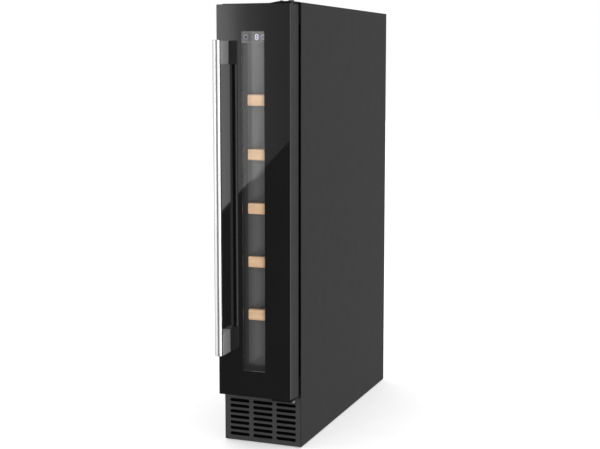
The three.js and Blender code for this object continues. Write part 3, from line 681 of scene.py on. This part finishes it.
def add_gasket():
    """A magnetic seal: a round bead, a fold and a flat magnet pocket."""
    low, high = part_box("door_gasket")
    width, depth = 10 * MM, high.y - low.y
    edge = [
        (0.00, 0.5), (0.04, 0.15), (0.12, 0.0), (0.30, 0.0), (0.36, 0.3), (0.42, 0.42), (0.48, 0.3),
        (0.54, 0.0), (0.88, 0.0), (0.96, 0.15), (1.00, 0.5), (0.96, 0.85), (0.88, 1.0), (0.68, 1.0),
        (0.62, 0.75), (0.56, 1.0), (0.12, 1.0), (0.04, 0.85),
    ]
    profile = [(inset * width, low.y + share * depth) for inset, share in edge]
    stand_for("door_gasket", frame_ring(low, high, profile, 6 * MM), angle=50)


def add_bar():
    """A round bar with eased rims and slightly dished ends."""
    low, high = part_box("handle_bar")
    radius = (high.x - low.x) / 2
    centre = ((low.x + high.x) / 2, (low.y + high.y) / 2, 0)
    ease, dish = 0.9 * MM, 0.3 * MM
    rim = arc((radius - ease, high.z - ease), ease, 0, 90, 4)
    end = [(radius * 0.55, low.z), (radius * 0.5, low.z + dish), (0, low.z + dish)]

    def mirrored(profile):
        return [(r, low.z + high.z - z) for r, z in profile]

    profile = list(reversed(end)) + mirrored(reversed(rim)) + rim + mirrored(end)
    stand_for("handle_bar", turned(profile, centre, "z", 96))


def add_handle():
    add_bar()
    head_height, shank_radius, tip = 3.5 * MM, 2 * MM, 0.4 * MM
    for place in ("lower", "upper"):
        post = softened("handle_post_" + place, 0.5 * MM, 3)
        post.data.materials.clear()
        post.data.materials.append(SATIN_STEEL)
        node = "handle_screw_" + place
        low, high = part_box(node)
        middle = (low + high) / 2
        head = Vector((middle.x, high.y - head_height, middle.z))
        length = head.y - low.y
        shank = [(0, 0), (shank_radius, tip), (shank_radius, length), (0, length)]
        stand_for(node, turned(shank, (middle.x, low.y, middle.z), "y", 24))
        screws(node + "_head", [head], "y", 1, 4.5 * MM, "door")


# ------------------------------------------------------------------ hinges

def add_top_bracket():
    """A pressed plate that slopes down to its free end, and a leg against the cabinet."""
    low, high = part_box("top_hinge_bracket")
    under = high.z - 3 * MM
    flat_from, lip = low.x + 17 * MM, 0.7 * MM
    profile = [
        (low.x, under), (high.x - 3 * MM, under), (high.x - 2 * MM, high.z), (flat_from, high.z),
        (low.x + 2 * MM, under + lip),
    ]
    leg_from, leg_to, leg_thick = 58 * MM, 72 * MM, 1.5 * MM
    leg = block((leg_from, high.y - leg_thick, low.z), (leg_to, high.y, high.z), 0.4 * MM)
    shape = merged(plate([profile], low.y, high.y, "y", 0.25 * MM), leg)
    stand_for("top_hinge_bracket", shape)


def add_hinges():
    for name in ("top", "bottom"):
        softened(name + "_hinge_pin", 0.3 * MM, 3)
    softened("bottom_hinge_bracket", 0.4 * MM)
    add_top_bracket()
    pin_low, pin_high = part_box("top_hinge_pin")
    pin = (pin_low + pin_high) / 2
    # Each bracket has two screws through its plate and two in its leg.
    plate_screws = [(pin.x - 18 * MM, pin.y), (pin.x - 10 * MM, FACE_Y - 6 * MM)]
    leg_x, leg_thick = 65 * MM, 1.5 * MM
    legs = []
    for name, way, heights in (("top", 1, (-10, -26)), ("bottom", -1, (14, 30))):
        low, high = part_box(name + "_hinge_bracket")
        level = high.z if way > 0 else low.z
        places = [Vector((x, y, level)) for x, y in plate_screws]
        screws(name + "_hinge_screws", places, "z", way, 3.2 * MM, "cabinet")
        legs += [Vector((leg_x, high.y - leg_thick, level + height * MM)) for height in heights]
    screws("hinge_leg_screws", legs, "y", -1, 2.6 * MM, "cabinet")


# ------------------------------------------------------------------ cabinet

def slot_loop(centre, length, height, steps=6):
    """A round-ended slot seen from the front."""
    round_end = height / 2
    reach = length / 2 - round_end
    u, v = centre
    right = arc((u + reach, v), round_end, -90, 90, steps)
    left = arc((u - reach, v), round_end, 90, 270, steps)
    return right + left


def add_plinth():
    """The grille with its three columns of air slots, and a near-black sheet behind it: painted shade
    that darkens the slots.
    """
    columns, rows = (-1, 0, 1), range(7)
    column_pitch, row_pitch, lowest = 45 * MM, 10.4 * MM, 8.5 * MM
    low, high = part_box("plinth_grille")
    loops = [front_loop(low, high, 0, 0.8 * MM)]
    for column in columns:
        for row in rows:
            centre = (column * column_pitch, BASE_Z + lowest + row * row_pitch)
            loops.append(slot_loop(centre, 38 * MM, 6 * MM))
    stand_for("plinth_grille", plate(loops, low.y, high.y, "y", 0.15 * MM))

    edge_gap, low_gap, behind, thick = 1 * MM, 3 * MM, 0.6 * MM, 1.6 * MM
    sheet_low = Vector((low.x + edge_gap, high.y + behind, low.z + low_gap))
    sheet_high = Vector((high.x - edge_gap, high.y + behind + thick, high.z - edge_gap))
    # Painted shade: this near-black sheet darkens the slots of the grille.
    shade_sheet = block(sheet_low, sheet_high, 0.4 * MM)
    add_piece("dust_filter", shade_sheet, "gasket_rubber", "cabinet", material=SHADE_SHEET_MAT)


def add_cabinet():
    for node in ("left_side_panel", "right_side_panel", "top_panel"):
        softened(node, 0.35 * MM)
    softened("base_plate", 0.3 * MM)
    add_plinth()


REAR_SCREW_X = 66 * MM
REAR_SCREW_RADIUS = 3 * MM


def add_rear_screws(name, y, heights):
    """A screw on each side at each height."""
    places = [Vector((side * REAR_SCREW_X, y, z)) for z in heights for side in (-1, 1)]
    screws(name, places, "y", 1, REAR_SCREW_RADIUS, "cabinet")


def add_back_panel():
    """A sheet with two pressed beads round its edge."""
    low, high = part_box("back_panel")
    edge, bead_radius, bead_corner = 0.35 * MM, 0.8 * MM, 6 * MM
    beads = []
    for inset in (14 * MM, 20 * MM):
        ring = at_depth(front_loop(low, high, inset, bead_corner), high.y - edge)
        beads.append(wire(ring, bead_radius, 2, True))
    stand_for("back_panel", merged(block(low, high, edge), *beads))
    from_end = 8 * MM
    heights = [low.z + from_end, (low.z + high.z) / 2, high.z - from_end]
    add_rear_screws("back_panel_screws", high.y, heights)


def add_rear_cover():
    """The vented cover of the machine room, with a bead over each louvre."""
    low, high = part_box("rear_cover")
    inlet_low, inlet_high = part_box("power_inlet")
    gap = 0.3 * MM
    socket = front_loop(inlet_low, inlet_high, -gap, 1 * MM)
    loops = [front_loop(low, high, 0, 1.5 * MM), socket]
    first, pitch = 90 * MM, 14 * MM
    half_width, height, corner = 48 * MM, 6 * MM, 2 * MM
    bead_reach, bead_rise, bead_radius = 49 * MM, 6.4 * MM, 0.9 * MM
    beads = []
    for row in range(5):
        sill = BASE_Z + first + row * pitch
        loops.append(rounded_loop((-half_width, sill), (half_width, sill + height), corner, 4))
        ends = [(-bead_reach, sill + bead_rise), (bead_reach, sill + bead_rise)]
        beads.append(wire(at_depth(ends, high.y - 0.4 * MM), bead_radius, 2))
    stand_for("rear_cover", merged(plate(loops, low.y, high.y, "y", 0.35 * MM), *beads))
    add_rear_screws("rear_cover_screws", high.y, [BASE_Z + z * MM for z in (10, 88, 168)])


def add_inlet():
    softened("power_inlet", 0.5 * MM)
    low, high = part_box("power_inlet")
    middle = (low + high) / 2
    from_middle = 20 * MM
    places = [Vector((middle.x + side * from_middle, BACK_Y, middle.z)) for side in (-1, 1)]
    screws("inlet_screws", places, "y", 1, 2.4 * MM, "cabinet")


def add_foot(node):
    """A round pad that stays under the base, and a threaded shank that screws into it."""
    low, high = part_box(node)
    centre = ((low.x + high.x) / 2, (low.y + high.y) / 2, 0)
    pad = high.x - centre[0]
    ease = 0.6 * MM
    under = UNDERSIDE_Z - 0.3 * MM
    profile = [(0, low.z), (pad - ease * 2, low.z)]
    profile += arc((pad - ease, low.z + ease), ease, -60, 0, 3)
    profile += arc((pad - ease, under - ease), ease, 0, 90, 3)
    shank, thread_depth, pitch, plain = 4 * MM, 0.6 * MM, 1.25 * MM, 2 * MM
    profile += [(shank * 1.3, under)]
    for turn in range(int((high.z - UNDERSIDE_Z - plain) / pitch)):
        z = UNDERSIDE_Z + turn * pitch
        profile += [(shank - thread_depth, z), (shank, z + pitch / 2)]
    profile += [(shank - 1 * MM, high.z), (0, high.z)]
    stand_for(node, turned(profile, centre, "z", 32), node + "_levelling")


def add_feet():
    for body in BODIES:
        if body.startswith("foot_"):
            add_foot(body)


# ------------------------------------------------------------------ cold store

def add_evaporator_cover():
    """A plate with a fan opening and air slots, and a wire guard over the opening."""
    low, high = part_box("evaporator_cover")
    fan_low, fan_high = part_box("circulation_fan_rotor")
    hub = ((fan_low.x + fan_high.x) / 2, (fan_low.z + fan_high.z) / 2)
    edge = 0.6 * MM
    loops = [front_loop(low, high, 0, 2 * MM), circle(hub, 34 * MM, 48)]
    lowest, pitch = 227.5 * MM, 12 * MM
    for row in range(5):
        loops.append(slot_loop((0, BASE_Z + lowest + row * pitch), 60 * MM, 5 * MM))
    stand_for("evaporator_cover", plate(loops, low.y, high.y, "y", edge))

    front = low.y - edge
    guard_wire = 0.8 * MM
    rings = [circle(hub, radius * MM, 48) for radius in (12, 19, 26, 33)]
    guard = [wire(at_depth(ring, front), guard_wire, 2, True) for ring in rings]
    spokes = 4
    ends = circle(hub, 35.5 * MM, spokes * 2)
    for spoke in range(spokes):
        guard.append(wire(at_depth([ends[spoke], ends[spoke + spokes]], front), guard_wire, 2))
    add_piece("circulation_fan_guard", merged(*guard), "black_wire", "cabinet")


def add_cold_store():
    softened("inner_liner", 0.8 * MM)
    softened("led_strip", 0.8 * MM, 3)
    softened("evaporator_plate", 0.4 * MM)
    softened("circulation_fan_motor", 0.6 * MM)
    add_evaporator_cover()


def cradle_path(y, z, rail):
    """A wire across the rack that dips in the middle to hold a bottle."""
    dip, reach, steps = 8 * MM, 36 * MM, 36
    path = []
    for step in range(steps + 1):
        x = (2 * step / steps - 1) * rail
        share = min(abs(x) / reach, 1)
        path.append((x, y, z - dip * 0.5 * (1 + math.cos(math.pi * share))))
    return path


def rack_mesh(low, high):
    """A bent hoop with a bar across its front and four cradle wires."""
    thick = 2 * MM
    rail = high.x - thick
    z = high.z - thick
    back = high.y - thick
    bar_y = low.y + 4 * MM
    hoop = bent([(-rail, low.y, z), (-rail, back, z), (rail, back, z), (rail, low.y, z)], 9 * MM, 8)
    parts = [wire(hoop, thick), wire([(-rail, bar_y, z), (rail, bar_y, z)], thick * 0.9)]
    for depth in (110, 190, 270, 350):
        parts.append(wire(cradle_path(FACE_Y + depth * MM, z, rail), 1.5 * MM))
    return merged(*parts)


def add_shelves():
    for index in range(1, 6):
        front, rack = f"shelf_front_{index}", f"shelf_rack_{index}"
        stand_for(front, block(*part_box(front), 2.6 * MM), angle=45)
        stand_for(rack, rack_mesh(*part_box(rack)), angle=60)


# ------------------------------------------------------------------ controls

def digit_segments(centre, y, height, width):
    """The seven bars of a display digit showing 8."""
    thick = height * 0.13
    long_bar, short_bar = height / 2 - thick * 0.55, width - thick * 1.2
    u, v = centre
    bars = [(u, v + step * height / 2, short_bar, thick) for step in (-1, 0, 1)]
    bars += [(u + side * width / 2, v + rise * height / 4, thick, long_bar)
             for side in (-1, 1) for rise in (-1, 1)]
    meshes = []
    for bar_u, bar_v, wide, tall in bars:
        low = (bar_u - wide / 2, bar_v - tall / 2)
        high = (bar_u + wide / 2, bar_v + tall / 2)
        loop = rounded_loop(low, high, thick * 0.4, 3)
        meshes.append(plate([loop], y, y + 0.15 * MM, "y", 0.03 * MM))
    return merged(*meshes)


def add_controls():
    softened("control_panel_housing", 0.6 * MM)
    softened("control_board", 0.2 * MM)
    softened("display_window", 0.25 * MM)
    low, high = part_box("display_window")
    front = low.y - 0.05 * MM
    level = (low.z + high.z) / 2
    from_edge, height, width = 5 * MM, 9 * MM, 5 * MM
    digit = digit_segments((high.x - from_edge, level), front, height, width)
    add_piece("display_digit", digit, "display_lens", "cabinet", material=DIGIT_GLOW)
    for name in ("power", "up", "down", "light"):
        body = name + "_button"
        softened(body, 0.3 * MM)
        low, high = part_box(body)
        centre = ((low.x + high.x) / 2, (low.z + high.z) / 2)
        ring = wire(at_depth(circle(centre, 3.7 * MM, 40), low.y), 0.3 * MM, 2, True)
        add_piece(body + "_ring", ring, "button_metal", body, material=RING_GLOW)


# ------------------------------------------------------------------ machine room

def blade_section(radius, wide, tilt, sweep, half):
    """One cross section of a fan blade, an ellipse tilted and bent round the axis."""
    steps, thickness = 12, 0.7 * MM
    loop = []
    for step in range(steps):
        angle = 2 * math.pi * step / steps
        along, thick = wide / 2 * math.cos(angle), thickness * math.sin(angle)
        side = along * math.cos(tilt) - thick * math.sin(tilt)
        deep = along * math.sin(tilt) + thick * math.cos(tilt)
        around = sweep + side / radius
        deep = max(-half, min(half, deep))
        loop.append((radius * math.cos(around), deep, radius * math.sin(around)))
    return loop


def blade_mesh(hub, tip, chord, pitch, half):
    """A blade that widens, flattens and sweeps back from the hub to the tip."""
    steps = 7
    root = hub * 0.9
    sections = []
    for step in range(steps + 1):
        share = step / steps
        radius = root + (tip - root) * share
        tilt = math.radians(pitch * (1 - 0.45 * share))
        wide = chord * (0.8 + 0.35 * math.sin(math.pi * min(share * 1.1, 1)))
        sections.append(blade_section(radius, wide, tilt, 0.35 * share ** 1.5, half))
    return loft(sections, False)


def fan_wheel(node, hub, tip, blades, chord, pitch):
    """A hub with a rounded nose and twisted, swept blades."""
    low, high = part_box(node)
    centre = (low + high) / 2
    half = (high.y - low.y) / 2
    ease, wall = 2 * MM, 1 * MM
    nose = [(hub - ease + u, -half + ease - v) for u, v in reversed(arc((0, 0), ease, 0, 90, 4))]
    profile = [(0, -half), *nose, (hub, half), (hub - wall, half), (0, half)]
    parts = [turned(profile, centre, "y", 48)]
    blade = blade_mesh(hub, tip, chord, pitch, half)
    for index in range(blades):
        turn = Matrix.Rotation(2 * math.pi * index / blades, 4, "Y")
        parts.append(placed(blade, Matrix.Translation(centre) @ turn))
    stand_for(node, merged(*parts))


def add_coil():
    """A tube that runs to and fro from the bottom to the top of the condenser."""
    low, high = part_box("condenser_coil")
    radius, reach, runs = 2.5 * MM, 51 * MM, 7
    y = (low.y + high.y) / 2
    pitch = (high.z - low.z - 2 * radius) / (runs - 1)
    corners = []
    for run in range(runs):
        way = 1 if run % 2 == 0 else -1
        z = low.z + radius + run * pitch
        corners += [(-way * reach, y, z), (way * reach, y, z)]
    stand_for("condenser_coil", wire(bent(corners, pitch / 2, 8), radius), angle=60)


def add_machine_room():
    for node, edge in (
        ("condenser_fan_housing", 1.0), ("compressor_mount", 0.6), ("drip_tray", 0.6),
        ("power_board_box", 1.5), ("compressor", 0.8),
    ):
        softened(node, edge * MM)
    fan_wheel("condenser_fan_rotor", hub=15 * MM, tip=36.4 * MM, blades=7, chord=17 * MM, pitch=42)
    fan_wheel("circulation_fan_rotor", hub=12 * MM, tip=31.9 * MM, blades=6, chord=13 * MM, pitch=40)
    add_coil()


def add_pipes():
    """Bent pipes through points given in mm: across, behind FACE_Y and above BASE_Z."""
    discharge = [
        (53.5, 430, 70), (60, 420, 70), (64, 390, 74), (64, 240, 84), (64, 120, 86),
        (64, 60, 86), (61, 36, 86), (53.5, 30, 86),
    ]
    suction = [(-53.5, 430, 110), (-60, 437, 114), (-63, 452, 128), (-63, 460, 150), (-63, 460, 172.8)]
    for node, route, radius in (("discharge_pipe", discharge, 3), ("suction_pipe", suction, 3.5)):
        points = [(x * MM, FACE_Y + y * MM, BASE_Z + z * MM) for x, y, z in route]
        stand_for(node, wire(bent(points, 12 * MM, 5), radius * MM), angle=60)


# ------------------------------------------------------------------ studio

# How bright the world looks in a reflection, towards the front and towards the back.
FRONT_GLOSS = 0.19
BACK_GLOSS = 0.85

# Where the camera stands, which way it is turned and how far it looks down, in degrees.
CAMERA_AT = (0.8043, -2.1215, 0.6776)
CAMERA_YAW = 20.97
CAMERA_DOWN = 6.78

HANDLE_AT = (-0.052, -0.283, 0.45)
STEEL_NAMES = ("handle_bar", "handle_post")
INSIDE_NAMES = (
    "shelf_", "inner_liner", "evaporator_cover", "circulation_fan", "control_panel", "display_window",
)


def add_floor():
    """A pale floor that only the camera and diffuse light see, so it isn't mirrored in the glass."""
    size = 12
    corners = [(-size, -size, 0), (size, -size, 0), (size, size, 0), (-size, size, 0)]
    mesh = mesh_of(corners, [(0, 1, 2, 3)])
    floor = bpy.data.objects.new("floor", mesh)
    bpy.context.scene.collection.objects.link(floor)
    paint = painted("floor_paint", grey(0.86), 0.8, specular=0.2, grain=60, relief=0.02, cloud=0.008)
    mesh.materials.append(paint)
    floor.visible_glossy = False
    floor.visible_transmission = False
    floor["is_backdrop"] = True


def add_world():
    """White all round, but dim in reflections of the front, so that black glass stays black."""
    world = bpy.data.worlds.new("studio")
    bpy.context.scene.world = world
    world.use_nodes = True
    tree = world.node_tree
    light = tree.nodes["Background"]
    path = tree.nodes.new("ShaderNodeLightPath")
    forward = coordinate(tree, "Generated", "Y")
    mirrored = spread(tree, forward, FRONT_GLOSS, BACK_GLOSS, -0.15, 0.5)
    either = tree.nodes.new("ShaderNodeMath")
    either.operation = "MAXIMUM"
    tree.links.new(path.outputs["Is Glossy Ray"], either.inputs[0])
    tree.links.new(path.outputs["Is Transmission Ray"], either.inputs[1])
    mix = tree.nodes.new("ShaderNodeMix")
    mix.inputs["A"].default_value = 1.0
    tree.links.new(either.outputs["Value"], mix.inputs["Factor"])
    tree.links.new(mirrored, mix.inputs["B"])
    tree.links.new(mix.outputs["Result"], light.inputs["Strength"])
    light.inputs["Color"].default_value = (1, 1, 1, 1)


def add_reflector():
    """A lit card at the front left that only reflections see: the sheen on the glass."""
    y, top = -2.0, 1.6
    left, right = -0.98, -0.56
    # The lower edge slopes: it passes through this point and rises to the right.
    edge_x, edge_z, slope = -0.62, 0.426, 0.9206
    corners = [(x, y, edge_z + (x - edge_x) * slope) for x in (left, right)]
    corners += [(right, y, top), (left, y, top)]
    mesh = mesh_of(corners, [(0, 1, 2, 3)])
    card = bpy.data.objects.new("reflector", mesh)
    bpy.context.scene.collection.objects.link(card)
    material, tree, shader = new_material("reflector_light")
    across = spread(tree, coordinate(tree, "Object", "X"), 0, 1, left, right)
    levels = [
        (0.0, 1.0), (0.29, 0.65), (0.34, 0.55), (0.42, 0.34), (0.51, 0.23), (0.68, 0.15), (0.85, 0.125),
    ]
    stops = [(position, grey(level)) for position, level in levels]
    emission = tree.nodes.new("ShaderNodeEmission")
    emission.inputs["Strength"].default_value = 4.0
    tree.links.new(ramp(tree, across, stops), emission.inputs["Color"])
    output = tree.nodes["Material Output"]
    tree.links.new(emission.outputs["Emission"], output.inputs["Surface"])
    tree.nodes.remove(shader)
    mesh.materials.append(material)
    card.visible_camera = False
    card.visible_diffuse = False
    card.visible_shadow = False
    card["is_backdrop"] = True


def pieces_named(starts):
    return [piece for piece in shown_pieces() if piece.name.startswith(starts)]


def light_group(name, pieces):
    """A collection that a light is linked to, so that it lights only these pieces."""
    group = bpy.data.collections.new(name)
    for piece in pieces:
        group.objects.link(piece)
    return group


def add_softbox(name, position, target, width, height, brightness, receivers):
    """A soft area light of an even brightness, aimed at target, that lights only receivers."""
    data = bpy.data.lights.new(name, "AREA")
    data.shape = "RECTANGLE"
    data.size = width
    data.size_y = height
    data.energy = brightness * math.pi * width * height
    box = bpy.data.objects.new(name, data)
    bpy.context.scene.collection.objects.link(box)
    box.location = position
    aim = Vector(target) - Vector(position)
    box.rotation_euler = aim.to_track_quat("-Z", "Y").to_euler()
    box.visible_camera = False
    box.light_linking.receiver_collection = light_group(name + "_receivers", receivers)


def add_floor_light():
    """A soft sun straight above that whitens the floor and leaves only a faint shadow."""
    data = bpy.data.lights.new("floor_sun", "SUN")
    data.energy = 1.6
    data.angle = math.radians(60)
    sun = bpy.data.objects.new("floor_sun", data)
    bpy.context.scene.collection.objects.link(sun)
    floor = [bpy.data.objects["floor"]]
    sun.light_linking.receiver_collection = light_group("floor_sun_receivers", floor)
    sun.light_linking.blocker_collection = light_group("floor_sun_blockers", floor)


def add_lights():
    steel, inside = pieces_named(STEEL_NAMES), pieces_named(INSIDE_NAMES)
    add_floor_light()
    add_softbox("left_softbox", (-1.1, -1.35, 0.5), HANDLE_AT, 2.4, 1.8, 0.9, steel)
    add_softbox("right_softbox", (1.15, -0.40, 0.5), HANDLE_AT, 1.1, 1.8, 1.7, steel)
    add_softbox("front_softbox", (0.9, -1.0, 0.5), HANDLE_AT, 0.6, 1.8, 0.45, steel)
    add_softbox("window_softbox", (0.80, -2.12, 0.5), (0, -0.18, 0.4), 0.35, 0.9, 52, inside)
    for name in ("door_window_pane", "door_glass_inner_detail"):
        bpy.data.objects[name].visible_shadow = False


def add_camera():
    data = bpy.data.cameras.new("camera")
    data.lens = 71.1
    data.sensor_width = 36
    data.shift_y = -0.03
    data.clip_end = 60
    camera = bpy.data.objects.new("camera", data)
    bpy.context.scene.collection.objects.link(camera)
    camera.location = CAMERA_AT
    camera.rotation_euler = (math.radians(90 - CAMERA_DOWN), 0, math.radians(CAMERA_YAW))
    bpy.context.scene.camera = camera


add_camera()
add_world()
add_floor()
add_reflector()
add_door_glass()
add_inner_door()
add_gasket()
add_handle()
add_hinges()
add_cabinet()
add_back_panel()
add_rear_cover()
add_inlet()
add_feet()
add_cold_store()
add_shelves()
add_controls()
add_machine_room()
add_pipes()
add_lights()
bpy.context.scene.view_settings.view_transform = "Standard"
